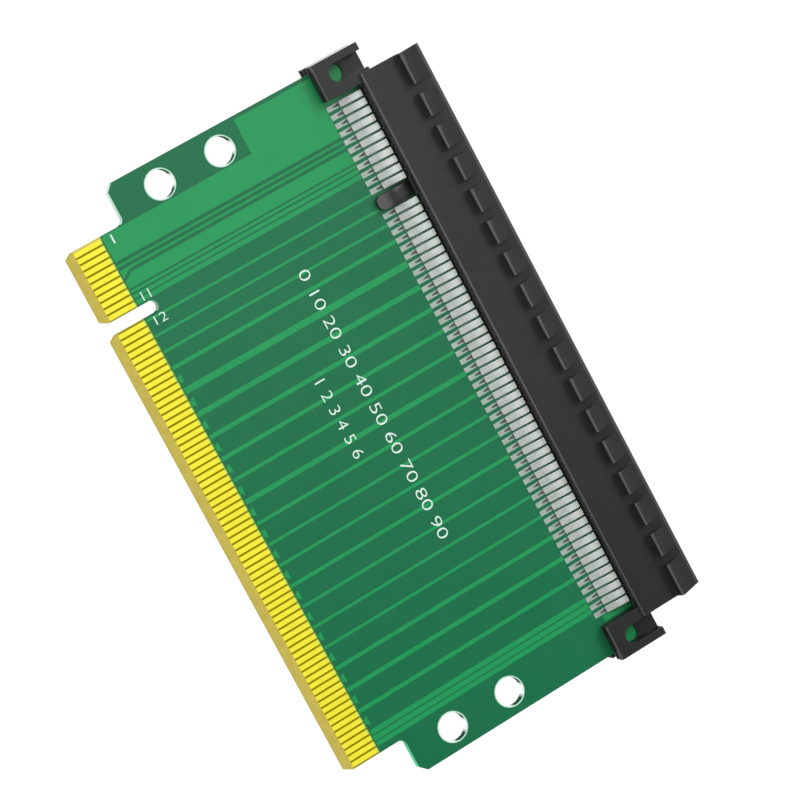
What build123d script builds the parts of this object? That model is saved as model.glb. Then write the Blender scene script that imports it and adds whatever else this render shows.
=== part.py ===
# Card riser: a board with a card edge along one side and a card slot along the other.
# X runs along the contact rows, Y from the card edge to the slot mouth, Z up through the board.
# The origin is under the middle of the part, on the surface that it lies on. Sizes are in mm.
import os
from build123d import *

os.makedirs("parts", exist_ok=True)

# Board
board_height = 49.7
board_thickness = 1.57
shoulder_width = 5.9
shoulder_height = 9.8
shoulder_chamfer = 1.0
tongue_fillet = 1.0
tip_corner = 0.6
bevel_length = 1.2
bevel_depth = 0.42

# Card edge, with its fingers set out from the middle of the key notch
notch_width = 1.9
notch_height = 8.45
finger_pitch = 1.0
finger_width = 0.7
finger_length = 4.5
finger_setback = 0.05
finger_margin = 0.6
finger_count_short = 11
finger_count_long = 71
key_pitches = 1.5
copper_thickness = 0.04

# Mounting holes, placed from the board's side and shoulder
hole_diameter = 4.3
hole_from_side = 3.45
hole_from_shoulder = 7.2
hole_spacing_y = 10.0
plating_thickness = 0.19

# Contacts, set out from the middle of the slot's key
slot_key_shift = 3.11
contact_pitch = 1.332
contact_width = 1.0
contact_thickness = 0.25
contact_side_clearance = 0.06
contact_top_clearance = 0.15
contact_count_short = 11
contact_count_long = 51
tail_length = 3.9
tail_crest_from_foot = 0.9
tail_rise = 0.85
bow_from_mouth = 2.3
bow_height = 0.45
beam_tip_clearance = 0.2
beam_tip_height = 1.1

# Solder pads
pad_width = 0.8
pad_exposed = 2.0
pad_covered = 1.0

# Slot housing
housing_height = 10.0
housing_thickness = 7.5
housing_fillet = 0.5
end_wall_left = 1.7
end_wall_right = 2.2
board_clearance = 0.06
slot_clearance = 0.08
card_slot_depth = 7.7
card_slot_margin = 0.9
card_slot_lead = 0.35
slot_key_width = 1.75
cavity_lip = 0.6
mouth_rim = 0.5

# Wedge blocks along the slot mouth
wedge_rise = 1.7
wedge_draft = 0.3
wedge_land = 0.4
wedge_chamfer = 0.25
wedge_setback = 3.9
wedge_gap = 1.5
wedge_pitch = 5.2
wedge_gap_count = 16

# Ears that hold the board's upper corners, placed from the ends of the housing
ear_root = 1.4
ear_width = 5.6
ear_reach = 5.9
ear_overlap = 1.98
ear_rise = 2.35
ear_fillet = 0.3
ear_hole_diameter = 2.7
ear_hole_from_housing = 1.65
ear_hole_from_end = 3.4
ear_floor = 0.37
pocket_depth = 1.0
pocket_width = 1.4
pocket_height = 1.0
pocket_margin = 0.25

# Key posts that lie on the board beside the slot's key
post_width = 2.2
post_length = 6.0
post_tip_rise = 0.9
post_crest_rise = 1.7
post_crest_from_foot = 2.3
post_foot_rise = 0.6
post_fillet = 0.9

# Copper under the mask, as (middle, width) of each stripe in finger pitches from the key notch
copper_margin = 0.5
copper_gap = 0.1
field_right = -7.94
field_left = -12.04
field_step = 21.05
stripes = [
    (-7.28, 0.32), (-5.18, 2.9), (-3.26, 0.44), (-2.5, 0.58), (-1.63, 0.72),
    (1.39, 0.42), (3.87, 0.4), (6.38, 0.44), (8.99, 0.6), (12.7, 1.0), (16.5, 0.8), (20.16, 0.68),
    (23.72, 0.6), (27.2, 0.54), (30.76, 0.76), (34.3, 0.54), (37.74, 0.48), (41.12, 0.48),
    (44.54, 0.56), (47.96, 0.48), (51.35, 0.46), (54.75, 0.46), (58.2, 0.62), (61.74, 0.68),
    (65.3, 0.62), (68.88, 0.76), (69.86, 0.8), (70.78, 0.72),
]
first_land_stripe = 8
last_land_stripe = 25
land_width = 1.5
land_foot = 0.8
land_height = 0.65
jog_gap = 0.48
jog_middle = -6.03
jog_shift = 0.95
jog_height = 1.5


def row_of(key_x, direction, pitch, count):
    """X of each place in a row that starts beside a key and runs away from it."""
    return [key_x + direction * pitch * (key_pitches + index) for index in range(count)]


# Places along X
short_reach = finger_pitch * (key_pitches + finger_count_short - 1) + finger_margin
long_reach = finger_pitch * (key_pitches + finger_count_long - 1) + finger_margin
tongue_width = short_reach + long_reach
notch_x = short_reach - tongue_width / 2
board_width = tongue_width + 2 * shoulder_width
hole_x = board_width / 2 - hole_from_side
finger_rows = {
    "short": row_of(notch_x, -1, finger_pitch, finger_count_short),
    "long": row_of(notch_x, 1, finger_pitch, finger_count_long),
}
slot_key_x = notch_x + slot_key_shift
contact_rows = {
    "short": row_of(slot_key_x, -1, contact_pitch, contact_count_short),
    "long": row_of(slot_key_x, 1, contact_pitch, contact_count_long),
}
slot_left = contact_rows["short"][-1] - card_slot_margin
slot_right = contact_rows["long"][-1] + card_slot_margin
housing_left = slot_left - end_wall_left
housing_right = slot_right + end_wall_right
housing_length = housing_right - housing_left
housing_middle_x = (housing_left + housing_right) / 2

# Places along Y
overall_height = board_height + housing_height
tip_y = -overall_height / 2
mouth_y = overall_height / 2
shoulder_y = tip_y + shoulder_height
foot_y = tip_y + board_height
floor_y = mouth_y - card_slot_depth
wedge_y = mouth_y - wedge_setback
finger_low_y = tip_y + bevel_length + finger_setback
finger_high_y = finger_low_y + finger_length
hole_low_y = shoulder_y + hole_from_shoulder
tail_y = foot_y - tail_length
pad_low_y = tail_y - pad_exposed
copper_low_y = finger_high_y + copper_gap
copper_high_y = pad_low_y - copper_gap

# Places along Z
half_board = board_thickness / 2
half_housing = housing_thickness / 2
half_slot = half_board + slot_clearance
middle_z = half_housing + wedge_rise
face_z = middle_z + half_board
rear_z = middle_z - half_board
band_z = middle_z + half_housing
crest_z = face_z + tail_rise
cavity_reach = half_board + tail_rise + contact_thickness + contact_top_clearance
board_middle = Plane.XY.offset(middle_z)
board_face = Plane.XY.offset(face_z)
clear_of_board = Plane.XY.offset(face_z + board_clearance)


def finish(builder, name):
    """Label a finished piece and write it as a STEP file."""
    builder.part.label = name
    export_step(builder.part, f"parts/{name}.step")


def finish_both_faces(builder, name):
    """Write a piece of the front face, and the same piece turned over to the rear face."""
    finish(builder, f"front_{name}")
    with BuildPart() as rear:
        add(mirror(builder.part, about=board_middle))
    finish(rear, f"rear_{name}")


def span(left, right, low, high, mode=Mode.ADD):
    """A rectangle between two X and two Y values."""
    with Locations(((left + right) / 2, (low + high) / 2)):
        Rectangle(right - left, high - low, mode=mode)


# Board: body and tongue in plan, then the bevels of the card edge
hole_places = [(x, y) for x in (-hole_x, hole_x) for y in (hole_low_y, hole_low_y + hole_spacing_y)]
barrel_radius = hole_diameter / 2 + plating_thickness
notch_end_y = tip_y + notch_height - notch_width / 2

with BuildPart() as board:
    with BuildSketch(Plane.XY.offset(rear_z)):
        span(-board_width / 2, board_width / 2, shoulder_y, foot_y)
        chamfer(vertices().group_by(Axis.Y)[0], shoulder_chamfer)
        span(-tongue_width / 2, tongue_width / 2, tip_y, shoulder_y)
        fillet(vertices().group_by(Axis.Y)[1].sort_by(Axis.X)[1:-1], tongue_fillet)
        span(notch_x - notch_width / 2, notch_x + notch_width / 2, tip_y, notch_end_y, Mode.SUBTRACT)
        with Locations((notch_x, notch_end_y)):
            Circle(notch_width / 2, mode=Mode.SUBTRACT)
        chamfer(vertices().group_by(Axis.Y)[0], tip_corner)
        with Locations(*hole_places):
            Circle(barrel_radius, mode=Mode.SUBTRACT)
    extrude(amount=board_thickness)
    with BuildSketch(Plane.YZ.offset(-tongue_width / 2)):
        for outer_z, inner_z in ((face_z, face_z - bevel_depth), (rear_z, rear_z + bevel_depth)):
            Polygon((tip_y, outer_z), (tip_y + bevel_length, outer_z), (tip_y, inner_z), align=None)
    extrude(amount=tongue_width, mode=Mode.SUBTRACT)
finish(board, "board")


# Fingers: gold contacts of the card edge
def build_fingers(row):
    """Fingers on one side of the key notch."""
    with BuildPart() as fingers:
        with BuildSketch(board_face):
            with Locations(*[(x, (finger_low_y + finger_high_y) / 2) for x in finger_rows[row]]):
                Rectangle(finger_width, finger_length)
        extrude(amount=copper_thickness)
    finish_both_faces(fingers, f"fingers_{row}")


for row in finger_rows:
    build_fingers(row)


# Platings: a barrel through each mounting hole, just proud of both faces
def build_plating(name, place):
    """Plating of one mounting hole."""
    with BuildPart() as plating:
        with BuildSketch(board_middle):
            with Locations(place):
                Circle(barrel_radius)
                Circle(hole_diameter / 2, mode=Mode.SUBTRACT)
        extrude(amount=half_board + copper_thickness, both=True)
    finish(plating, f"plating_{name}")


for name, place in zip(("lower_left", "upper_left", "lower_right", "upper_right"), hole_places):
    build_plating(name, place)


# Pads: where the tails are soldered down
def build_pads(row):
    """Solder pads on one side of the slot's key."""
    pad_length = pad_exposed + pad_covered
    with BuildPart() as pads:
        with BuildSketch(board_face):
            with Locations(*[(x, pad_low_y + pad_length / 2) for x in contact_rows[row]]):
                Rectangle(pad_width, pad_length)
        extrude(amount=copper_thickness)
    finish_both_faces(pads, f"pads_{row}")


for row in contact_rows:
    build_pads(row)


# Copper under the mask: a field that steps round the holes, stripes with one jog, and a small
# tapered land between each two stripes
def from_notch(pitches):
    """X of a place given in finger pitches from the key notch."""
    return notch_x + pitches * finger_pitch


land_stripes = stripes[first_land_stripe:last_land_stripe + 1]
land_middles = [(left[0] + right[0]) / 2 for left, right in zip(land_stripes, land_stripes[1:])]

with BuildPart() as copper:
    with BuildSketch(board_face):
        field_step_y = shoulder_y + field_step
        span(copper_margin - board_width / 2, from_notch(field_right), field_step_y, copper_high_y)
        span(from_notch(field_left), from_notch(field_right), copper_low_y, field_step_y)
        for middle, width in stripes:
            span(from_notch(middle - width / 2), from_notch(middle + width / 2),
                 copper_low_y, copper_high_y)
        with Locations(*[(from_notch(middle), copper_low_y) for middle in land_middles]):
            Polygon((-land_foot / 2, 0), (land_foot / 2, 0), (land_width / 2, land_height),
                    (-land_width / 2, land_height), align=None)
        with Locations((from_notch(jog_middle), copper_low_y)):
            Polygon((-jog_gap / 2, copper_high_y - copper_low_y), (-jog_gap / 2, jog_height),
                    (jog_shift - jog_gap / 2, 0), (jog_shift + jog_gap / 2, 0),
                    (jog_gap / 2, jog_height), (jog_gap / 2, copper_high_y - copper_low_y),
                    align=None, mode=Mode.SUBTRACT)
    extrude(amount=copper_thickness)
finish_both_faces(copper, "copper")


# Contacts: a tail that rises off its pad, then a beam that slopes in to a bow and flares at its tip
contact_underside = [
    (tail_y, face_z + copper_thickness),
    (foot_y - tail_crest_from_foot, crest_z),
    (mouth_y - bow_from_mouth, middle_z + bow_height),
    (mouth_y - cavity_lip - beam_tip_clearance, middle_z + beam_tip_height),
]


def build_contacts(row):
    """Contacts on one side of the slot's key, each bent from one strip."""
    with BuildPart() as contacts:
        with BuildSketch(*[Plane.YZ.offset(x - contact_width / 2) for x in contact_rows[row]]):
            with BuildLine():
                underside = Polyline(*contact_underside)
                offset(underside, amount=contact_thickness, side=Side.LEFT, kind=Kind.INTERSECTION)
            make_face()
        extrude(amount=contact_width)
    finish_both_faces(contacts, f"contacts_{row}")


for row in contact_rows:
    build_contacts(row)


# Ear: a plate with a hole, and a channel that runs from the hole to the plate's far side
ear_left = housing_right - ear_root
ear_right = ear_left + ear_width
ear_low_y = foot_y - ear_reach
ear_high_y = foot_y + ear_overlap
ear_hole = (housing_right + ear_hole_from_housing, ear_low_y + ear_hole_from_end)
ear_hole_radius = ear_hole_diameter / 2
ear_thickness = ear_rise - board_clearance
pocket_left = ear_left + pocket_margin
pocket_right = ear_right - pocket_margin
pocket_high_y = ear_low_y + pocket_depth

with BuildPart() as ear:
    with BuildSketch(clear_of_board):
        span(ear_left, ear_right, ear_low_y, ear_high_y)
        with Locations(ear_hole):
            Circle(ear_hole_radius, mode=Mode.SUBTRACT)
    extrude(amount=ear_thickness)
    fillet(edges().filter_by(Axis.X).group_by(Axis.Y)[0].sort_by(Axis.Z)[-1], ear_fillet)
    with BuildSketch(Plane.XY.offset(face_z + ear_floor)):
        with Locations(ear_hole):
            Circle(ear_hole_radius)
        span(ear_hole[0] - ear_hole_radius, ear_hole[0] + ear_hole_radius, ear_hole[1], ear_high_y)
    extrude(amount=ear_rise - ear_floor, mode=Mode.SUBTRACT)
    with BuildSketch(Plane.XY.offset(face_z + ear_floor)):
        span(pocket_left, pocket_left + pocket_width, ear_low_y, pocket_high_y)
        span(pocket_right - pocket_width, pocket_right, ear_low_y, pocket_high_y)
    extrude(amount=pocket_height, mode=Mode.SUBTRACT)


# Key post: a rounded finger that lies on the board and swells into a crest before the housing
post_y = foot_y - post_length

with BuildPart() as post:
    with BuildSketch(Plane.YZ.offset(slot_key_x - post_width / 2)):
        with BuildLine():
            end = Line((post_y, face_z + board_clearance), (post_y, face_z + post_tip_rise))
            crest = Spline(
                end @ 1,
                (foot_y - post_crest_from_foot, face_z + post_crest_rise),
                (foot_y, face_z + post_foot_rise),
            )
            Polyline(crest @ 1, (foot_y, face_z + board_clearance), end @ 0)
        make_face()
    extrude(amount=post_width)
    fillet(edges().filter_by(Axis.Z).group_by(Axis.Y)[0], post_fillet)


# Housing: one moulding with the wedge blocks, ears and posts, around the card slot
cavity_width = contact_width + 2 * contact_side_clearance
cavity_planes = [
    Plane.YZ.offset(x - cavity_width / 2) for row in contact_rows.values() for x in row
]

with BuildPart() as housing:
    with BuildSketch(Plane.YZ.offset(housing_left)):
        span(foot_y, mouth_y, middle_z - half_housing, middle_z + half_housing)
        fillet(vertices().group_by(Axis.X)[0], housing_fillet)
        chamfer(vertices().group_by(Axis.X)[-1], mouth_rim)
    extrude(amount=housing_length)
    with BuildSketch(Plane.YZ.offset(housing_left)):
        wedge_top = band_z + wedge_rise
        Polygon(
            (wedge_y, middle_z),
            (wedge_y, band_z),
            (wedge_y + wedge_draft, wedge_top),
            (wedge_y + wedge_draft + wedge_land, wedge_top),
            (mouth_y - mouth_rim, band_z),
            (mouth_y - mouth_rim, middle_z),
            align=None,
        )
        chamfer(vertices().group_by(Axis.Y)[-1].sort_by(Axis.X)[0], wedge_chamfer)
    extrude(amount=housing_length)
    with BuildSketch(Plane.XY.offset(band_z)):
        with Locations((housing_middle_x, (wedge_y + mouth_y) / 2)):
            with GridLocations(wedge_pitch, wedge_setback, wedge_gap_count, 1):
                Rectangle(wedge_gap, wedge_setback)
    extrude(amount=wedge_rise, mode=Mode.SUBTRACT)
    add(ear.part)
    add(mirror(ear.part, about=Plane.YZ.offset(housing_middle_x)))
    add(post.part)
    mirror(about=board_middle)

    # Card slot, split by its key, with a lead-in at the mouth
    with BuildSketch(Plane.XY.offset(middle_z - half_slot)):
        span(slot_left, slot_key_x - slot_key_width / 2, floor_y, mouth_y)
        span(slot_key_x + slot_key_width / 2, slot_right, floor_y, mouth_y)
    extrude(amount=2 * half_slot, mode=Mode.SUBTRACT)
    chamfer(faces().sort_by(Axis.Y)[-1].inner_wires().edges().filter_by(Axis.X), card_slot_lead)

    # A cavity for each contact, open to the slot, from the foot to the lip of the mouth
    with BuildSketch(*cavity_planes):
        span(foot_y, mouth_y - cavity_lip, middle_z + half_slot, middle_z + cavity_reach)
        span(foot_y, mouth_y - cavity_lip, middle_z - cavity_reach, middle_z - half_slot)
    extrude(amount=cavity_width, mode=Mode.SUBTRACT)
finish(housing, "slot_housing")
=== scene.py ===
import math
import bmesh
import bpy
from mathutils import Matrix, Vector


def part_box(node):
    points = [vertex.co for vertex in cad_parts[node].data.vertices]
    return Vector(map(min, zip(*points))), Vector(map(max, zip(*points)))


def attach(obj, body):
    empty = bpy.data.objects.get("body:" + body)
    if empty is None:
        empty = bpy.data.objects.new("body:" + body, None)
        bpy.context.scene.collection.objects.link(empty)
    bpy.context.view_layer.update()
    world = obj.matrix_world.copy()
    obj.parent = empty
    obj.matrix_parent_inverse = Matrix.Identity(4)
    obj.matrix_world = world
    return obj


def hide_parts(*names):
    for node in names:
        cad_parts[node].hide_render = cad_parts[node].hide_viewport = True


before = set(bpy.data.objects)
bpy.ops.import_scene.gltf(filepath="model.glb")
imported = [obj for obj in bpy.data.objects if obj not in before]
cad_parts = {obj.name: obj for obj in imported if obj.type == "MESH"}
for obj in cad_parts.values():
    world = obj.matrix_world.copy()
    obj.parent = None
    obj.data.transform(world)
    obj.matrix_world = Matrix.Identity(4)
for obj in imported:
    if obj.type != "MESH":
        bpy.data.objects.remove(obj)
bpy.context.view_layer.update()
print("frame loaded:", len(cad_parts), "nodes")

mm = 0.001
scene = bpy.context.scene
scene.view_settings.view_transform = "Standard"

# Places that the pieces share, all read from the frame
boardLow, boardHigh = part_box("board")
housingLow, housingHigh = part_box("slot_housing")
fingersLow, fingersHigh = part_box("front_fingers_long")
faceZ = boardHigh.z
middleZ = (boardLow.z + boardHigh.z) / 2
footY = boardHigh.y
tipY = boardLow.y
mouthY = housingHigh.y
fingerEnd = fingersHigh.y
bevelEnd = fingersLow.y


# Colours are given as the screen shows them
def linear(value):
    share = value / 255
    return share / 12.92 if share <= 0.04045 else ((share + 0.055) / 1.055) ** 2.4


def shade(red, green, blue):
    return (linear(red), linear(green), linear(blue))


# Node helpers: a value may be a number, a colour or another node's output
def startMaterial(name):
    material = bpy.data.materials.new(name)
    material.use_nodes = True
    material.node_tree.nodes.clear()
    return material, material.node_tree


def addNode(tree, kind, **settings):
    node = tree.nodes.new(kind)
    for key, value in settings.items():
        setattr(node, key, value)
    return node


def plug(tree, socket, value):
    if isinstance(value, bpy.types.NodeSocket):
        tree.links.new(value, socket)
    elif isinstance(value, tuple):
        socket.default_value = (*value, 1)
    else:
        socket.default_value = value


def calc(tree, operation, first, second=0.0):
    node = addNode(tree, "ShaderNodeMath", operation=operation)
    plug(tree, node.inputs[0], first)
    plug(tree, node.inputs[1], second)
    return node.outputs[0]


def both(tree, *shares):
    total = shares[0]
    for share in shares[1:]:
        total = calc(tree, "MULTIPLY", total, share)
    return total


# 1 between low and high, falling to 0 outside them, at once or over a soft stretch
def within(tree, value, low, high, soft=0.0):
    if soft:
        rise = ramp(tree, value, low - soft, low, 0.0, 1.0)
        fall = ramp(tree, value, high, high + soft, 1.0, 0.0)
    else:
        rise = calc(tree, "GREATER_THAN", value, low)
        fall = calc(tree, "LESS_THAN", value, high)
    return calc(tree, "MULTIPLY", rise, fall)


def opposite(tree, share):
    return calc(tree, "SUBTRACT", 1.0, share)


def mixColour(tree, amount, first, second, blend="MIX"):
    node = addNode(tree, "ShaderNodeMix", data_type="RGBA", blend_type=blend)
    plug(tree, node.inputs[0], amount)
    plug(tree, node.inputs[6], first)
    plug(tree, node.inputs[7], second)
    return node.outputs[2]


def mixValue(tree, amount, first, second):
    node = addNode(tree, "ShaderNodeMix", data_type="FLOAT")
    plug(tree, node.inputs[0], amount)
    plug(tree, node.inputs[2], first)
    plug(tree, node.inputs[3], second)
    return node.outputs[0]


def ramp(tree, value, low, high, toLow, toHigh):
    node = addNode(tree, "ShaderNodeMapRange")
    plug(tree, node.inputs[0], value)
    for slot, number in enumerate((low, high, toLow, toHigh), 1):
        plug(tree, node.inputs[slot], number)
    return node.outputs[0]


def noise(tree, where, scale, low, high):
    node = addNode(tree, "ShaderNodeTexNoise")
    plug(tree, node.inputs["Vector"], where)
    plug(tree, node.inputs["Scale"], scale)
    return ramp(tree, node.outputs["Fac"], 0.3, 0.7, low, high)


def stretch(tree, *pairs):
    node = addNode(tree, "ShaderNodeCombineXYZ")
    for slot, (value, scale) in enumerate(pairs):
        plug(tree, node.inputs[slot], calc(tree, "MULTIPLY", value, scale))
    return node.outputs[0]


def relief(tree, height, strength, distance):
    node = addNode(tree, "ShaderNodeBump")
    plug(tree, node.inputs["Height"], height)
    plug(tree, node.inputs["Strength"], strength)
    plug(tree, node.inputs["Distance"], distance)
    return node.outputs["Normal"]


# A fine surface grain, as a normal
def fineGrain(tree, where, scale, strength):
    return relief(tree, noise(tree, where, scale, 0.0, 1.0), strength, 0.01 * mm)


# The place or the normal at each point, whole and then as X, Y and Z
def coordinates(tree, kind="Object"):
    source = addNode(tree, "ShaderNodeTexCoord")
    parts = addNode(tree, "ShaderNodeSeparateXYZ")
    tree.links.new(source.outputs[kind], parts.inputs[0])
    return source.outputs[kind], *parts.outputs


def finishMaterial(tree, colour, roughness, **values):
    shader = addNode(tree, "ShaderNodeBsdfPrincipled")
    plug(tree, shader.inputs["Base Color"], colour)
    plug(tree, shader.inputs["Roughness"], roughness)
    for key, value in values.items():
        plug(tree, shader.inputs[key.replace("_", " ")], value)
    output = addNode(tree, "ShaderNodeOutputMaterial")
    tree.links.new(shader.outputs[0], output.inputs["Surface"])


# Piece helpers
def placePiece(name, mesh, material, slot, *nodes):
    mesh.materials.clear()
    mesh.materials.append(material)
    piece = bpy.data.objects.new(name, mesh)
    scene.collection.objects.link(piece)
    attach(piece, "root")
    if nodes:
        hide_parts(*nodes)
    return piece


def meshFrom(name, build, smoothTo):
    shape = bmesh.new()
    build(shape)
    bmesh.ops.recalc_face_normals(shape, faces=shape.faces)
    mesh = bpy.data.meshes.new(name)
    shape.to_mesh(mesh)
    shape.free()
    mesh.polygons.foreach_set("use_smooth", [True] * len(mesh.polygons))
    mesh.set_sharp_from_angle(angle=math.radians(smoothTo))
    return mesh


# Copies a solid, with its triangles joined again into flat faces
def takeSolid(shape, node):
    sameCorner = 0.0005 * mm
    flatWithin = math.radians(1)
    shape.from_mesh(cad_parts[node].data)
    bmesh.ops.remove_doubles(shape, verts=shape.verts, dist=sameCorner)
    bmesh.ops.dissolve_limit(shape, angle_limit=flatWithin, verts=shape.verts, edges=shape.edges)


def dress(material, *nodes):
    for node in nodes:
        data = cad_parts[node].data
        data.materials.clear()
        data.materials.append(material)


# Camera: where the photograph was taken from, in the part's own frame
cameraSet = {
    "place": (-67.75, -120.27, 444.77),  # mm
    "turn": (0.222, -17.780, 60.755),  # degrees about X, Y and Z
    "lens": 143.69,
    "sensor": 36.0,
    "shift": (-0.000625, 0.00075),
    "nearest": 10,  # mm
}


def buildCamera():
    data = bpy.data.cameras.new("viewCamera")
    data.lens = cameraSet["lens"]
    data.sensor_width = cameraSet["sensor"]
    data.shift_x, data.shift_y = cameraSet["shift"]
    data.clip_start = cameraSet["nearest"] * mm
    camera = bpy.data.objects.new("viewCamera", data)
    scene.collection.objects.link(camera)
    camera.location = Vector(cameraSet["place"]) * mm
    camera.rotation_euler = [math.radians(angle) for angle in cameraSet["turn"]]
    scene.camera = camera


# Light: a soft lamp beyond the slot, and a studio sky, bright all round, with a shade above
# the card's right end, so that the gloss fades along the board
lightSet = {
    "lampPlace": (-0.45, 0.75, 1.0),  # metres
    "lampSize": 0.5,
    "lampPower": 6.5,
    "sky": 1.09,
    "topFrom": 0.6,
    "topTo": 0.88,
    "brightX": 0.0,
    "brightTone": 0.82,
    "dimX": 0.28,
    "dimTone": 0.0,
    "farFrom": 0.35,
    "farTo": 0.9,
    "farTone": 0.5,
}


def buildLight():
    data = bpy.data.lights.new("softLamp", "AREA")
    data.size = lightSet["lampSize"]
    data.energy = lightSet["lampPower"]
    lamp = bpy.data.objects.new("softLamp", data)
    scene.collection.objects.link(lamp)
    lamp.location = lightSet["lampPlace"]
    lamp.rotation_euler = Vector(lightSet["lampPlace"]).to_track_quat("Z", "Y").to_euler()
    world = bpy.data.worlds.new("studioSky")
    world.use_nodes = True
    scene.world = world
    tree = world.node_tree
    tree.nodes.clear()
    x, y, z = coordinates(tree, "Generated")[1:]
    low = ramp(tree, y, lightSet["farFrom"], lightSet["farTo"], 1.0, lightSet["farTone"])
    top = ramp(tree, x, lightSet["brightX"], lightSet["dimX"],
               lightSet["brightTone"], lightSet["dimTone"])
    above = ramp(tree, z, lightSet["topFrom"], lightSet["topTo"], 0.0, 1.0)
    sky = addNode(tree, "ShaderNodeBackground")
    plug(tree, sky.inputs["Color"], mixColour(tree, above, low, top))
    plug(tree, sky.inputs["Strength"], lightSet["sky"])
    output = addNode(tree, "ShaderNodeOutputWorld")
    tree.links.new(sky.outputs[0], output.inputs["Surface"])


# Floor: pale paper, lifted to white where the camera or a mirror sees it
floorSet = {
    "size": 6.0,
    "drop": 0.01 * mm,
    "colour": 0.8,
    "seenColour": 0.12,
    "lift": 0.96,
    "grainScale": 40.0,
    "grain": (0.98, 1.0),
}


def buildFloor():
    half = floorSet["size"] / 2
    corners = [(-half, -half), (half, -half), (half, half), (-half, half)]
    mesh = bpy.data.meshes.new("paleFloor")
    mesh.from_pydata([(x, y, -floorSet["drop"]) for x, y in corners], [], [(0, 1, 2, 3)])
    material, tree = startMaterial("palePaper")
    where = coordinates(tree)[0]
    path = addNode(tree, "ShaderNodeLightPath")
    seen = calc(tree, "MAXIMUM", path.outputs["Is Camera Ray"], path.outputs["Is Glossy Ray"])
    seen = calc(tree, "MAXIMUM", seen, path.outputs["Is Transmission Ray"])
    plain = addNode(tree, "ShaderNodeBsdfDiffuse")
    share = mixColour(tree, seen, (floorSet["colour"],) * 3, (floorSet["seenColour"],) * 3)
    grain = noise(tree, where, floorSet["grainScale"], *floorSet["grain"])
    plug(tree, plain.inputs["Color"], mixColour(tree, 1.0, share, grain, "MULTIPLY"))
    glow = addNode(tree, "ShaderNodeEmission")
    plug(tree, glow.inputs["Strength"], calc(tree, "MULTIPLY", seen, floorSet["lift"]))
    total = addNode(tree, "ShaderNodeAddShader")
    tree.links.new(plain.outputs[0], total.inputs[0])
    tree.links.new(glow.outputs[0], total.inputs[1])
    output = addNode(tree, "ShaderNodeOutputMaterial")
    tree.links.new(total.outputs[0], output.inputs["Surface"])
    mesh.materials.append(material)
    floor = bpy.data.objects.new("paleFloor", mesh)
    scene.collection.objects.link(floor)


buildCamera()
buildLight()
buildFloor()
print("camera, light and floor placed")

# Board: green mask, bare laminate between the fingers, cut edges with painted light on them, and the mask
# painted paler under the tails
boardLook = {
    "mask": shade(14, 111, 71),
    "maskDeep": shade(10, 107, 68),
    "copper": shade(26, 152, 86),
    "copperDeep": shade(22, 148, 83),
    "bare": shade(143, 130, 6),
    "bareEnd": shade(138, 164, 52),
    "bareSide": shade(205, 198, 100),
    "bevel": shade(197, 180, 86),
    # painted light: cut edges that face -Y are painted pale, palest at the left end; edgePlain is the
    # tone of the other cut edges
    "litEdgeLeft": shade(216, 250, 232),
    "litEdgeRight": shade(104, 224, 166),
    "edgePlain": shade(62, 118, 88),
    # painted light: the mask under and between the tails, painted paler against the shade the strips cast
    "paintedLightUnderTails": shade(118, 172, 146),
    "stop": shade(50, 112, 44),
    "stopRise": (-0.18, -0.02),  # mm from the fingers' far ends, where the dark line there comes up
    "stopFall": (0.05, 0.2),  # mm, where it fades away
    "bareEndRise": (-0.35, -0.2),  # mm, where the bare laminate turns paler
    "tailsRise": (-3.7, -2.5),  # mm from the board's far edge, where painted light pales the mask under the tails, against the shade there
    "tailsEnd": -0.2,
    "weave": 0.42,  # mm from thread to thread
    "weaveStrength": 0.03,
    "weaveDepth": 0.003,  # mm
    "cloudScale": 50.0,
    "grainScale": 900.0,
    "grain": (0.94, 1.04),
    "corner": (0.6, 1.06),  # mm along X and Y, the cut corners of the tongue
    "round": 0.62,  # mm, reach of the solid's rounded corners
    "tongue": 4.0,  # mm from the tip, where its sides are looked for
    "bevelLength": 1.2,
    "bevelDepth": 0.42,
    "glossScale": 400.0,
    "roughness": (0.24, 0.3),
    "dullRoughness": 0.6,
    "smoothTo": 30,
}
# Copper beside the first and the last contact and under the ears' holes, as X and Y ranges in mm
copperPatches = [
    ((-43.3, -42.75), (14.0, 19.8)), ((42.2, 43.2), (15.1, 19.85)),
    ((-47.7, -44.6), (15.9, 19.8)), ((44.6, 47.7), (15.9, 19.8)),
]


def weave(tree, x, y):
    pitch = boardLook["weave"] * mm
    warp = calc(tree, "SINE", calc(tree, "MULTIPLY", x, math.tau / pitch))
    weft = calc(tree, "SINE", calc(tree, "MULTIPLY", y, math.tau / pitch))
    threads = calc(tree, "MULTIPLY", warp, weft)
    return relief(tree, threads, boardLook["weaveStrength"], boardLook["weaveDepth"] * mm)


# A ramp over two distances in mm from a place along Y
def stretchFrom(tree, y, place, distances, toLow=0.0, toHigh=1.0):
    low, high = (place + distance * mm for distance in distances)
    return ramp(tree, y, low, high, toLow, toHigh)


def stopLine(tree, y):
    rise = stretchFrom(tree, y, fingerEnd, boardLook["stopRise"])
    fall = stretchFrom(tree, y, fingerEnd, boardLook["stopFall"], 1.0, 0.0)
    return calc(tree, "MULTIPLY", rise, fall)


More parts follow.
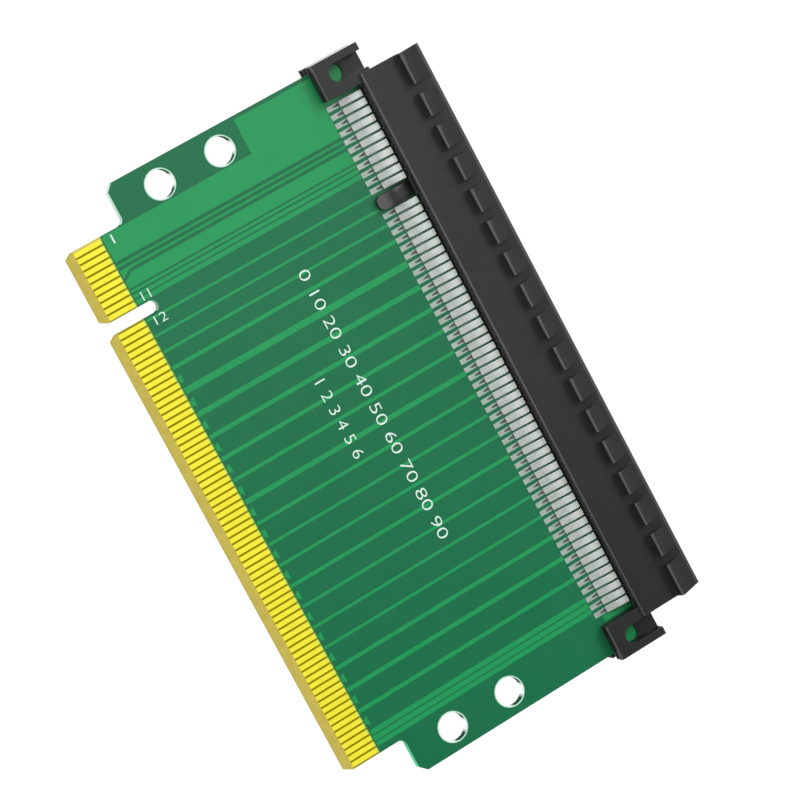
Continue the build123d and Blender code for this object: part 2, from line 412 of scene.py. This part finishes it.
def boardMaterial():
    material, tree = startMaterial("maskedLaminate")
    where, x, y = coordinates(tree)[:3]
    ny, nz = coordinates(tree, "Normal")[2:]
    cloud = noise(tree, where, boardLook["cloudScale"], 0.0, 1.0)
    grain = noise(tree, where, boardLook["grainScale"], *boardLook["grain"])
    green = mixColour(tree, cloud, boardLook["mask"], boardLook["maskDeep"])
    copper = mixColour(tree, cloud, boardLook["copper"], boardLook["copperDeep"])
    # painted light: under and between the tails the mask is painted paler, against the shade that falls
    # there
    for row in ("short", "long"):
        low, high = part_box("front_contacts_" + row)
        rise = stretchFrom(tree, y, footY, boardLook["tailsRise"])
        before = calc(tree, "LESS_THAN", y, footY + boardLook["tailsEnd"] * mm)
        under = both(tree, within(tree, x, low.x, high.x), rise, before)
        green = mixColour(tree, under, green, boardLook["paintedLightUnderTails"])
    for (left, right), (near, far) in copperPatches:
        patch = both(tree, within(tree, x, left * mm, right * mm), within(tree, y, near * mm, far * mm))
        green = mixColour(tree, patch, green, copper)
    green = mixColour(tree, stopLine(tree, y), green, boardLook["stop"])
    inFingers = calc(tree, "LESS_THAN", y, fingerEnd)
    inBevel = calc(tree, "LESS_THAN", y, bevelEnd)
    flat = calc(tree, "GREATER_THAN", calc(tree, "ABSOLUTE", nz), 0.5)
    # painted light on the cut edges: pale where they face -Y, fading from the left end to the right
    along = ramp(tree, x, boardLow.x, boardHigh.x, 0.0, 1.0)
    edge = mixColour(tree, along, boardLook["litEdgeLeft"], boardLook["litEdgeRight"])
    edge = mixColour(tree, calc(tree, "LESS_THAN", ny, -0.5), boardLook["edgePlain"], edge)
    sides = mixColour(tree, inFingers, edge, boardLook["bareSide"])
    bareEnd = stretchFrom(tree, y, fingerEnd, boardLook["bareEndRise"])
    bare = mixColour(tree, bareEnd, boardLook["bare"], boardLook["bareEnd"])
    bare = mixColour(tree, stopLine(tree, y), bare, boardLook["stop"])
    margin = calc(tree, "LESS_THAN", x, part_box("front_fingers_short")[0].x)
    bare = mixColour(tree, margin, bare, boardLook["bareSide"])
    faces = mixColour(tree, inFingers, green, bare)
    colour = mixColour(tree, flat, sides, faces)
    colour = mixColour(tree, inBevel, colour, boardLook["bevel"])
    dull = mixValue(tree, flat, 1.0, inFingers)
    gloss = noise(tree, where, boardLook["glossScale"], *boardLook["roughness"])
    rough = mixValue(tree, dull, gloss, boardLook["dullRoughness"])
    grained = mixColour(tree, 1.0, colour, grain, "MULTIPLY")
    finishMaterial(tree, mixColour(tree, dull, colour, grained), rough,
                   Normal=weave(tree, x, y), Specular_IOR_Level=mixValue(tree, dull, 0.5, 0.0))
    return material


def copperMaterial():
    material, tree = startMaterial("maskedCopper")
    where, x, y = coordinates(tree)[:3]
    cloud = noise(tree, where, boardLook["cloudScale"], 0.0, 1.0)
    green = mixColour(tree, cloud, boardLook["copper"], boardLook["copperDeep"])
    green = mixColour(tree, stopLine(tree, y), green, boardLook["stop"])
    gloss = noise(tree, where, boardLook["glossScale"], *boardLook["roughness"])
    finishMaterial(tree, green, gloss, Normal=weave(tree, x, y))
    return material


def buildBoard():
    high = boardLook["round"] * mm
    across, along = (value * mm for value in boardLook["corner"])
    half = faceZ - middleZ

    def build(shape):
        takeSolid(shape, "board")
        sides = [corner.co.x for corner in shape.verts
                 if tipY + high < corner.co.y < tipY + boardLook["tongue"] * mm]
        for corner in shape.verts:
            if corner.co.y > tipY + high:
                continue
            inset = min(abs(corner.co.x - side) for side in sides)
            if inset < across:
                corner.co.y = tipY + along * (1 - inset / across)
                rise = (corner.co.y - tipY) / (boardLook["bevelLength"] * mm)
                height = half - boardLook["bevelDepth"] * mm * (1 - min(rise, 1))
                corner.co.z = middleZ + math.copysign(height, corner.co.z - middleZ)

    mesh = meshFrom("maskedBoard", build, boardLook["smoothTo"])
    placePiece("maskedBoard", mesh, boardMaterial(), "board_mask", "board")


# Fingers, pads and hole platings
goldLook = {
    "tone": shade(255, 245, 60),
    "toneDeep": shade(250, 238, 52),
    "endTint": shade(206, 236, 112),
    "endShadow": shade(84, 150, 68),
    "tintRise": (-0.4, -0.2),  # mm from the fingers' far ends
    "shadowRise": (-0.2, -0.04),
    "toneScale": 700.0,
    "glossScale": 1500.0,
    "roughness": (0.32, 0.42),
    "grainScale": 2500.0,
    "grainStrength": 0.06,
    "metal": 0.2,
}
padLook = {
    "tone": shade(176, 190, 181),
    "toneDeep": shade(160, 174, 166),
    "toneScale": 1800.0,
    "glossScale": 1200.0,
    "roughness": (0.35, 0.5),
    "grainScale": 3000.0,
    "grainStrength": 0.08,
    "metal": 0.3,
}
platingLook = {
    "steps": 96,
    "wall": 0.19,  # mm
    "rim": 0.05,  # mm
    "rimTone": shade(200, 236, 218),
    "wallTone": shade(250, 253, 251),
    "arcTone": shade(58, 100, 78),
    "arcs": ((124, 32), (22, 36)),  # middle and half width of each dark reflection, in degrees
    "arcCore": 0.6,  # share of the half width that is fully dark
    "arcShift": -150.0,  # degrees per metre along X
    "tintScale": 900.0,
    "tint": (0.96, 1.0),
    "rimRoughness": 0.5,
    "glossScale": 1500.0,
    "roughness": (0.08, 0.14),
    "smoothTo": 30,
}


def goldMaterial():
    material, tree = startMaterial("goldPlate")
    place = coordinates(tree)
    where, y = place[0], place[2]
    cloud = noise(tree, where, goldLook["toneScale"], 0.0, 1.0)
    colour = mixColour(tree, cloud, goldLook["tone"], goldLook["toneDeep"])
    tint = stretchFrom(tree, y, fingerEnd, goldLook["tintRise"])
    colour = mixColour(tree, tint, colour, goldLook["endTint"])
    shadow = stretchFrom(tree, y, fingerEnd, goldLook["shadowRise"])
    colour = mixColour(tree, shadow, colour, goldLook["endShadow"])
    gloss = noise(tree, where, goldLook["glossScale"], *goldLook["roughness"])
    finishMaterial(tree, colour, gloss, Metallic=goldLook["metal"],
                   Normal=fineGrain(tree, where, goldLook["grainScale"], goldLook["grainStrength"]))
    return material


def padMaterial():
    material, tree = startMaterial("tinPads")
    where = coordinates(tree)[0]
    cloud = noise(tree, where, padLook["toneScale"], 0.0, 1.0)
    colour = mixColour(tree, cloud, padLook["tone"], padLook["toneDeep"])
    gloss = noise(tree, where, padLook["glossScale"], *padLook["roughness"])
    finishMaterial(tree, colour, gloss, Metallic=padLook["metal"],
                   Normal=fineGrain(tree, where, padLook["grainScale"], padLook["grainStrength"]))
    return material


def platingMaterial():
    material, tree = startMaterial("brightPlating")
    where, x = coordinates(tree)[:2]
    nx, ny, nz = coordinates(tree, "Normal")[1:]
    isWall = calc(tree, "LESS_THAN", calc(tree, "ABSOLUTE", nz), 0.3)
    angle = calc(tree, "ARCTAN2", calc(tree, "MULTIPLY", ny, -1.0), calc(tree, "MULTIPLY", nx, -1.0))
    angle = calc(tree, "MULTIPLY", angle, 180 / math.pi)
    angle = calc(tree, "SUBTRACT", angle, calc(tree, "MULTIPLY", x, platingLook["arcShift"]))
    dark = 0.0
    for middle, reach in platingLook["arcs"]:
        core = reach * platingLook["arcCore"]
        arc = within(tree, angle, middle - core, middle + core, reach - core)
        dark = calc(tree, "MAXIMUM", dark, arc)
    wall = mixColour(tree, dark, platingLook["wallTone"], platingLook["arcTone"])
    colour = mixColour(tree, isWall, platingLook["rimTone"], wall)
    tint = noise(tree, where, platingLook["tintScale"], *platingLook["tint"])
    colour = mixColour(tree, 1.0, colour, tint, "MULTIPLY")
    gloss = noise(tree, where, platingLook["glossScale"], *platingLook["roughness"])
    rough = mixValue(tree, isWall, platingLook["rimRoughness"], gloss)
    bright = opposite(tree, dark)
    finishMaterial(tree, colour, rough, Metallic=both(tree, isWall, bright),
                   Specular_IOR_Level=calc(tree, "MULTIPLY", bright, 0.5))
    return material


def turnRing(shape, centre, profile, steps):
    rings = []
    for radius, z in profile:
        ring = []
        for step in range(steps):
            angle = math.tau * step / steps
            x = centre.x + radius * math.cos(angle)
            y = centre.y + radius * math.sin(angle)
            ring.append(shape.verts.new((x, y, z)))
        rings.append(ring)
    for inner, outer in zip(rings, rings[1:] + rings[:1]):
        for step in range(steps):
            after = (step + 1) % steps
            shape.faces.new((inner[step], inner[after], outer[after], outer[step]))


def buildPlatings():
    bright = platingMaterial()
    rim = platingLook["rim"] * mm
    for place in ("lower_left", "upper_left", "lower_right", "upper_right"):
        low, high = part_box("plating_" + place)
        outer = (high.x - low.x) / 2
        bore = outer - platingLook["wall"] * mm
        profile = [
            (bore, low.z + rim), (bore, high.z - rim), (bore + rim, high.z), (outer - rim, high.z),
            (outer, high.z - rim), (outer, low.z + rim), (outer - rim, low.z), (bore + rim, low.z),
        ]

        def build(shape):
            turnRing(shape, (low + high) / 2, profile, platingLook["steps"])

        mesh = meshFrom("ring_" + place, build, platingLook["smoothTo"])
        placePiece("ring_" + place, mesh, bright, "tin", "plating_" + place)


buildBoard()
dress(copperMaterial(), "front_copper", "rear_copper")
dress(goldMaterial(), "front_fingers_short", "front_fingers_long",
      "rear_fingers_short", "rear_fingers_long")
dress(padMaterial(), "front_pads_short", "front_pads_long", "rear_pads_short", "rear_pads_long")
buildPlatings()
print("board, copper, fingers, pads and platings dressed")

# Contacts: each is one strip, from a dark toe, a painted shadow under its tip, over a crest with a
# painted highlight and down into the slot, its end by the wall painted in shade
contactSet = {
    "rows": {"short": 11, "long": 51},
    "width": 1.0,  # mm, as the next two
    "thickness": 0.25,
    "corner": 0.06,
    # distance from the foot along Y, and height of the top above the board's face, in mm
    "line": [
        (-3.88, 0.32), (-3.5, 0.38), (-2.9, 0.54), (-2.3, 0.74), (-1.7, 0.93), (-1.2, 1.04), (-0.8, 1.09),
        (-0.45, 1.1), (-0.32, 1.08), (-0.25, 0.96), (-0.22, 0.62), (-0.12, 0.52), (0.2, 0.5), (1.0, 0.47),
        (4.0, 0.2), (7.1, -0.09), (7.6, -0.12), (8.1, 0.0), (8.6, 0.24), (9.1, 0.54),
    ],
    # toe: a thin dark wedge on the pad, standing in for the shadow under the strip's tip
    "toe": [(-4.9, 0.1), (-4.5, 0.3), (-3.95, 0.5), (-3.84, 0.5)],  # distance from the foot and width
    "toeBase": 0.03,  # mm above the board's face
    "toeHeight": 0.12,
    "toeTop": 0.7,  # width of its top, as a share of its base
    "toeEnd": 0.02,  # mm before the strip's first point
    "tone": shade(204, 210, 206),
    "toneDeep": shade(186, 193, 188),
    # painted highlight: the crest of each strip, painted near white where it catches the light
    "crestHighlight": shade(252, 255, 253),
    "crestHighlightDeep": shade(236, 248, 241),
    # painted shade: the strip's end by the foot's wall, painted dark
    "endShade": shade(44, 50, 46),
    # painted shadow: the toe's dark tone
    "toeShadow": shade(70, 80, 74),
    "drawScale": (4000.0, 500.0, 500.0),
    # distances from the foot along Y, in mm
    "crestRise": (-2.6, -0.8),
    "crestFall": (0.0, 0.2),
    # the end painted in shade, from just before the foot's wall into it
    "shadedEnd": (-0.26, 0.5),
    "metalFall": (-0.7, -0.45),
    "metal": 0.4,
    "glossScale": 1200.0,
    "roughness": (0.32, 0.46),
    "dullRoughness": 0.8,
    "grainScale": 3000.0,
    "grainStrength": 0.08,
    "coatRoughness": 0.2,
    "coatIor": 2.0,
    "smoothTo": 35,
}


def contactMaterial():
    material, tree = startMaterial("springTin")
    where, x, y, z = coordinates(tree)
    along, across, down = contactSet["drawScale"]
    drawn = noise(tree, stretch(tree, (x, along), (y, across), (z, down)), 1.0, 0.0, 1.0)
    colour = mixColour(tree, drawn, contactSet["tone"], contactSet["toneDeep"])
    # painted highlight on the crest, with a clear coat there that adds to it
    crest = stretchFrom(tree, y, footY, contactSet["crestRise"])
    crest = calc(tree, "SUBTRACT", crest, stretchFrom(tree, y, footY, contactSet["crestFall"]))
    crestHighlight = mixColour(tree, drawn, contactSet["crestHighlight"], contactSet["crestHighlightDeep"])
    colour = mixColour(tree, crest, colour, crestHighlight)
    # painted shade on the strip's end at the foot's wall, dark and matte
    near, far = contactSet["shadedEnd"]
    shadedEnd = within(tree, y, footY + near * mm, footY + far * mm)
    colour = mixColour(tree, shadedEnd, colour, contactSet["endShade"])
    # the toe painted dark, as the shadow under the strip's tip
    toeEnd = contactSet["line"][0][0] - contactSet["toeEnd"]
    isToe = calc(tree, "LESS_THAN", y, footY + toeEnd * mm)
    colour = mixColour(tree, isToe, colour, contactSet["toeShadow"])
    dull = calc(tree, "MAXIMUM", isToe, shadedEnd)
    gloss = noise(tree, where, contactSet["glossScale"], *contactSet["roughness"])
    metal = stretchFrom(tree, y, footY, contactSet["metalFall"], contactSet["metal"], 0.0)
    finishMaterial(tree, colour, mixValue(tree, dull, gloss, contactSet["dullRoughness"]),
                   Metallic=mixValue(tree, dull, metal, 0.0),
                   Coat_Weight=both(tree, crest, opposite(tree, shadedEnd)),
                   Coat_Roughness=contactSet["coatRoughness"],
                   Coat_IOR=contactSet["coatIor"],
                   Normal=fineGrain(tree, where, contactSet["grainScale"], contactSet["grainStrength"]))
    return material


def stripRing(shape, x, point, ahead):
    side = Vector((0, -ahead.z, ahead.y))
    half = contactSet["width"] * mm / 2
    deep = contactSet["thickness"] * mm
    cut = contactSet["corner"] * mm
    outline = [
        (-half + cut, 0), (half - cut, 0), (half, -cut), (half, cut - deep),
        (half - cut, -deep), (cut - half, -deep), (-half, cut - deep), (-half, -cut),
    ]
    return [shape.verts.new(Vector((x + across, point.y, point.z)) + side * down)
            for across, down in outline]


def bridge(shape, rings):
    for first, second in zip(rings, rings[1:]):
        for index in range(len(first)):
            after = (index + 1) % len(first)
            shape.faces.new((first[index], first[after], second[after], second[index]))
    shape.faces.new(rings[0])
    shape.faces.new(reversed(rings[-1]))


def bendStrip(shape, x):
    line = [Vector((0, footY + y * mm, faceZ + z * mm)) for y, z in contactSet["line"]]
    rings = []
    for index, point in enumerate(line):
        ahead = line[min(index + 1, len(line) - 1)] - line[max(index - 1, 0)]
        rings.append(stripRing(shape, x, point, ahead.normalized()))
    bridge(shape, rings)
    # the toe: a thin dark wedge on the pad, standing in for the shadow under the strip's tip
    rings = []
    low = faceZ + contactSet["toeBase"] * mm
    high = low + contactSet["toeHeight"] * mm
    for y, width in contactSet["toe"]:
        half = width * mm / 2
        top = half * contactSet["toeTop"]
        outline = [(-half, low), (half, low), (top, high), (-top, high)]
        rings.append([shape.verts.new((x + across, footY + y * mm, z)) for across, z in outline])
    bridge(shape, rings)


def buildContactRow(side, row, count, material):
    node = side + "_contacts_" + row
    low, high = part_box(node)
    width = contactSet["width"] * mm
    pitch = (high.x - low.x - width) / (count - 1)

    def build(shape):
        for index in range(count):
            bendStrip(shape, low.x + width / 2 + pitch * index)
        if side == "rear":
            for corner in shape.verts:
                corner.co.z = 2 * middleZ - corner.co.z

    name = side + "Strips_" + row
    placePiece(name, meshFrom(name, build, contactSet["smoothTo"]), material, "contact_metal", node)


springTin = contactMaterial()
for side in ("front", "rear"):
    for row, count in contactSet["rows"].items():
        buildContactRow(side, row, count, springTin)
print("contacts bent")

# Housing: the solid with its edges eased, in a fine-grained black moulding, with painted highlights on
# its eased edges, mouth rim and foot edge, painted shade on its slopes and towards its right end, and
# painted light on its walls
housingLook = {
    "tone": shade(39, 39, 39),
    "toneDeep": shade(36, 36, 36),
    # painted highlights: on the eased edges, on the mouth's rim and along the foot's edge
    "chamferHighlight": shade(80, 80, 80),
    # painted highlight on the mouth's rim
    "rimTone": shade(66, 66, 66),
    # painted highlight along the foot's edge
    "footHighlight": shade(79, 79, 79),
    # painted shade on the wedges' slopes, as a factor on the tone
    "shadedSlope": 0.7,
    # painted light: the walls a little paler than the rest
    "wall": 1.15,
    "paintedFootLight": 4.0,  # how much painted light pales the foot's wall, low down between the tails, against the shade there
    "footLiftCurve": 2.6,
    "footLiftFall": (1.55, 2.95),  # mm from the middle, where the painted light fades upward
    "footLiftRise": (1.2, 1.5),
    "footLean": (-0.36, -0.86),  # Y of the normal where the foot's edge shines, left end and right end
    "footLineReach": (0.15, 0.35),
    "footLineFade": 0.7,
    "shadeTowardsRight": (1.12, 0.8),  # painted light and shade along X: the factor at the middle and at the right end, paler on the left half
    "gloss": 0.4,
    "wallGloss": 0.06,
    "toneScale": 120.0,
    "glossScale": 700.0,
    "roughness": (0.32, 0.4),
    "grainScale": 2600.0,
    "grainStrength": 0.05,
    "sideRoughness": 0.06,
    "sideIor": 1.6,
    # sizes of the solid, in mm
    "thickness": 7.5,
    "rim": 0.5,
    "wedgeSetback": 3.9,
    "endX": 44.808,
    "sideFrom": 44.7,
    "near": 0.02,
    # zones along Y, in mm from the board's far edge and from the wedges' walls
    "footZone": (-0.1, 0.6),
    "baseZone": (-0.4, 0.1),
    "baseHeight": 0.15,
    # eased edges
    "edge": 0.06,
    "edgeFrom": 28,
    "smoothTo": 40,
    # moves in mm that bring the copy nearer to the photograph
    "endShift": 0.12,
    "wedgeBase": -0.1,
    "wedgeCrest": -0.17,
    "mouthLift": 0.34,
}
bandHeight = housingLook["thickness"] / 2 * mm
bandZ = middleZ + bandHeight
rimHeight = bandHeight - housingLook["rim"] * mm
wedgeY = mouthY - housingLook["wedgeSetback"] * mm


# Shares of the housing's surface that get painted highlights, painted light or painted shade, told by
# place and by normal
def housingZones(tree, x, y, height):
    nx, ny, nz = coordinates(tree, "Normal")[1:]
    up = calc(tree, "ABSOLUTE", nz)
    rimStart = mouthY - housingLook["rim"] * mm
    across = calc(tree, "GREATER_THAN", calc(tree, "ABSOLUTE", nx), 0.9)
    reach = 0.9 * housingLook["sideFrom"] * mm
    outward = calc(tree, "GREATER_THAN", calc(tree, "MULTIPLY", nx, x), reach)
    side = calc(tree, "MULTIPLY", across, outward)
    wall = calc(tree, "MAXIMUM", calc(tree, "LESS_THAN", ny, -0.9), calc(tree, "SUBTRACT", across, side))
    # the wedges' slopes, which get painted shade
    shadedSlope = both(tree, within(tree, ny, 0.2, 0.7), calc(tree, "GREATER_THAN", up, 0.7),
                 calc(tree, "LESS_THAN", y, rimStart))
    # the mouth's rim, facing +Y and up, which gets a painted highlight
    rim = both(tree, within(tree, ny, 0.1, 0.95), calc(tree, "GREATER_THAN", y, rimStart))
    near, far = (wedgeY + distance * mm for distance in housingLook["baseZone"])
    base = both(tree, within(tree, y, near, far),
                calc(tree, "LESS_THAN", height, bandHeight + housingLook["baseHeight"] * mm))
    near, far = (footY + distance * mm for distance in housingLook["footZone"])
    foot = within(tree, y, near, far)
    eased = calc(tree, "GREATER_THAN", up, 0.2)
    elsewhere = opposite(tree, calc(tree, "MAXIMUM", base, foot))
    # painted highlight on eased edges that face -Y and up
    chamfer = both(tree, within(tree, ny, -0.8, -0.35, 0.2), eased, elsewhere)
    # painted highlight along the foot's edge, leaning with X
    lean = ramp(tree, x, housingLow.x, housingHigh.x, *housingLook["footLean"])
    aside = calc(tree, "ABSOLUTE", calc(tree, "SUBTRACT", ny, lean))
    line = both(tree, ramp(tree, aside, *housingLook["footLineReach"], 1.0, 0.0), foot, eased,
                ramp(tree, x, 0.0, housingHigh.x, 1.0, housingLook["footLineFade"]))
    return {
        "side": side, "wall": wall, "shadedSlope": shadedSlope, "rim": rim,
        "foot": foot, "chamfer": chamfer, "line": line,
    }


# How much painted light pales the foot's wall, against the shade low down between the tails, by its
# height above the board's middle
def paintedFootLight(tree, height, foot):
    fall = (distance * mm for distance in housingLook["footLiftFall"])
    rise = (distance * mm for distance in housingLook["footLiftRise"])
    lift = calc(tree, "POWER", ramp(tree, height, *fall, 1.0, 0.0), housingLook["footLiftCurve"])
    lift = calc(tree, "MULTIPLY", lift, ramp(tree, height, *rise, 0.0, 1.0))
    return both(tree, lift, foot, housingLook["paintedFootLight"])


def housingMaterial():
    material, tree = startMaterial("blackMoulding")
    where, x, y, z = coordinates(tree)
    height = calc(tree, "ABSOLUTE", calc(tree, "SUBTRACT", z, middleZ))
    zones = housingZones(tree, x, y, height)
    cloud = noise(tree, where, housingLook["toneScale"], 0.0, 1.0)
    colour = mixColour(tree, cloud, housingLook["tone"], housingLook["toneDeep"])
    # painted light on the walls, more low down on the foot's wall
    wall = calc(tree, "ADD", housingLook["wall"], paintedFootLight(tree, height, zones["foot"]))
    # painted shade on the wedges' slopes
    shadedSlope = mixValue(tree, zones["shadedSlope"], 1.0, housingLook["shadedSlope"])
    level = mixValue(tree, zones["wall"], shadedSlope, wall)
    colour = mixColour(tree, 1.0, colour, level, "MULTIPLY")
    # painted highlights: on the eased edges, along the foot's edge and on the mouth's rim
    for zone, tone in (("chamfer", "chamferHighlight"), ("line", "footHighlight"), ("rim", "rimTone")):
        colour = mixColour(tree, zones[zone], colour, housingLook[tone])
    # painted light and shade: paler on the left half, darker towards the right end
    shadeTowardsRight = ramp(tree, x, 0.0, housingHigh.x, *housingLook["shadeTowardsRight"])
    colour = mixColour(tree, 1.0, colour, shadeTowardsRight, "MULTIPLY")
    gloss = noise(tree, where, housingLook["glossScale"], *housingLook["roughness"])
    rough = mixValue(tree, zones["side"], gloss, housingLook["sideRoughness"])
    grain = fineGrain(tree, where, housingLook["grainScale"], housingLook["grainStrength"])
    shine = mixValue(tree, zones["wall"], housingLook["gloss"], housingLook["wallGloss"])
    finishMaterial(tree, colour, rough, Normal=grain,
                   Specular_IOR_Level=shine,
                   Coat_Weight=zones["side"],
                   Coat_Roughness=housingLook["sideRoughness"],
                   Coat_IOR=housingLook["sideIor"])
    return material


def fitHousing(shape):
    near = housingLook["near"] * mm
    for corner in shape.verts:
        place = corner.co
        up = place.z - middleZ
        if abs(abs(place.x) - housingLook["endX"] * mm) < near:
            place.x += housingLook["endShift"] * mm
        if place.z > bandZ - near and abs(place.y - wedgeY) < near:
            place.y += housingLook["wedgeBase"] * mm
        elif place.z > bandZ + housingLook["rim"] * mm:
            place.y += housingLook["wedgeCrest"] * mm
        if abs(place.y - mouthY) < near and abs(abs(up) - rimHeight) < near:
            place.z += math.copysign(housingLook["mouthLift"] * mm, up)


def buildHousing():
    def build(shape):
        takeSolid(shape, "slot_housing")
        fitHousing(shape)
        steepest = math.radians(housingLook["edgeFrom"])
        sharp = [edge for edge in shape.edges if edge.calc_face_angle(0) > steepest]
        bmesh.ops.bevel(shape, geom=sharp, offset=housingLook["edge"] * mm, offset_type="OFFSET",
                        segments=2, profile=0.5, affect="EDGES", clamp_overlap=False)

    mesh = meshFrom("easedHousing", build, housingLook["smoothTo"])
    piece = placePiece("easedHousing", mesh, housingMaterial(), "black_plastic", "slot_housing")
    piece.modifiers.new("evenShading", "WEIGHTED_NORMAL").keep_sharp = True


buildHousing()
print("housing eased")

# Marks: plain numbers in thin white print, in mm
markSet = {
    "lift": 0.045,
    "depth": 0.012,
    "thin": -0.011,  # of the letters' own size, before they are scaled
    "curveSteps": 4,
    "roughness": 0.55,
    "tintScale": 1500.0,
    "tint": (0.93, 1.0),
    "height": {"up": 1.35, "across": 1.7},
    "tone": shade(222, 246, 234),
    # the text, where it starts, the way that it reads and its length
    "marks": [
        ("1", (-40.35, -22.75), "up", 0.25),
        ("11", (-31.3, -22.9), "up", 1.3),
        ("12", (-27.4, -22.9), "up", 1.9),
        ("0 10 20 30 40 50 60 70 80 90", (-24.0, -1.35), "across", 44.0),
        ("1 2 3 4 5 6", (-9.0, -6.85), "across", 12.5),
    ],
}


def markMaterial():
    material, tree = startMaterial("whitePrint")
    where = coordinates(tree)[0]
    tint = noise(tree, where, markSet["tintScale"], *markSet["tint"])
    finishMaterial(tree, mixColour(tree, 1.0, markSet["tone"], tint, "MULTIPLY"), markSet["roughness"])
    return material


def buildMark(name, text, start, way, length, material):
    curve = bpy.data.curves.new(name, "FONT")
    curve.body = text
    curve.extrude = 0.5
    curve.offset = markSet["thin"]
    curve.resolution_u = markSet["curveSteps"]
    holder = bpy.data.objects.new(name, curve)
    scene.collection.objects.link(holder)
    bpy.context.view_layer.update()
    mesh = bpy.data.meshes.new_from_object(holder.evaluated_get(bpy.context.evaluated_depsgraph_get()))
    bpy.data.objects.remove(holder)
    places = [corner.co.copy() for corner in mesh.vertices]
    low = [min(place[axis] for place in places) for axis in range(3)]
    span = [max(place[axis] for place in places) - low[axis] for axis in range(3)]
    for corner, place in zip(mesh.vertices, places):
        ahead = (place.x - low[0]) / span[0] * length
        rise = (place.y - low[1]) / span[1] * markSet["height"][way]
        lift = faceZ / mm + markSet["lift"] + markSet["depth"] * (place.z - low[2]) / span[2]
        step = (-rise, ahead) if way == "up" else (ahead, rise)
        corner.co = Vector((start[0] + step[0], start[1] + step[1], lift)) * mm
    placePiece(name, mesh, material, "board_mask")


whitePrint = markMaterial()
for index, mark in enumerate(markSet["marks"]):
    buildMark("mark_" + str(index), *mark, whitePrint)
print("marks printed")
